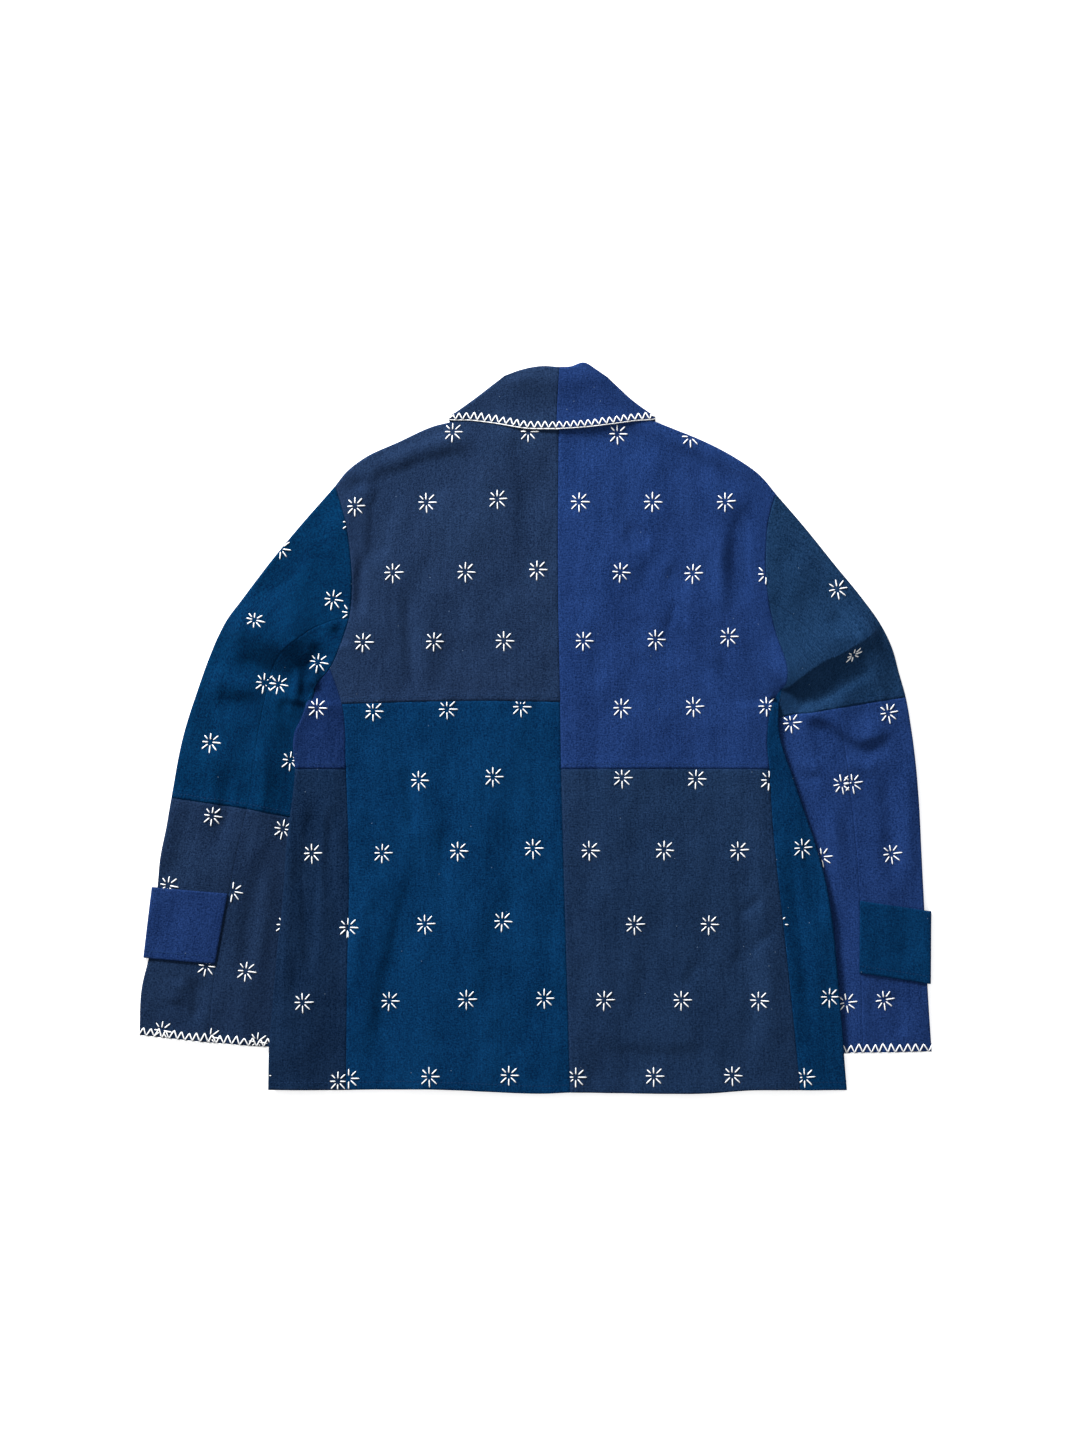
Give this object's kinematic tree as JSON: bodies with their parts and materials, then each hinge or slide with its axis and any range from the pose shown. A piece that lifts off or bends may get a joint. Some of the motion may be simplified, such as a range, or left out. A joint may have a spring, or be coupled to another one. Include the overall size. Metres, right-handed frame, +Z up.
{
  "type": "patchwork jacket laid flat",
  "caption": "Patchwork indigo jacket with a turned-down collar, two-piece sleeves and cuff tabs, lying flat on its front with its back up.",
  "frame": {"origin": "centre of the base of the whole jacket's box, on the surface that it lies on", "axes": "+X across the jacket towards the wearer's right sleeve, +Y from the hem towards the collar, +Z up from the surface, out of the jacket's back"},
  "size_m": [0.793, 0.7308, 0.0126],
  "materials": {
    "navy": "soft woven cotton-linen, washed navy",
    "teal": "soft woven cotton-linen, deep teal blue",
    "royal": "soft woven cotton-linen, royal blue",
    "petrol": "soft woven cotton-linen, petrol blue"
  },
  "bodies": {
    "root": {"back_lower_left": "teal", "back_upper_left": "navy", "back_lower_right": "navy", "back_upper_right": "royal", "side_left_lower": "navy", "side_left_upper": "royal", "side_right": "teal", "front_left": "royal", "front_right": "navy", "sleeve_left_outer_upper": "teal", "sleeve_left_outer_lower": "navy", "sleeve_left_inner_upper": "teal", "sleeve_left_inner_lower": "navy", "sleeve_right_outer_upper": "petrol", "sleeve_right_outer_lower": "royal", "sleeve_right_inner_upper": "petrol", "sleeve_right_inner_lower": "royal", "cuff_tab_left": "royal", "cuff_tab_right": "teal", "collar_left": "navy", "collar_right": "royal", "collar_stand": "navy"}
  },
  "joints": []
}
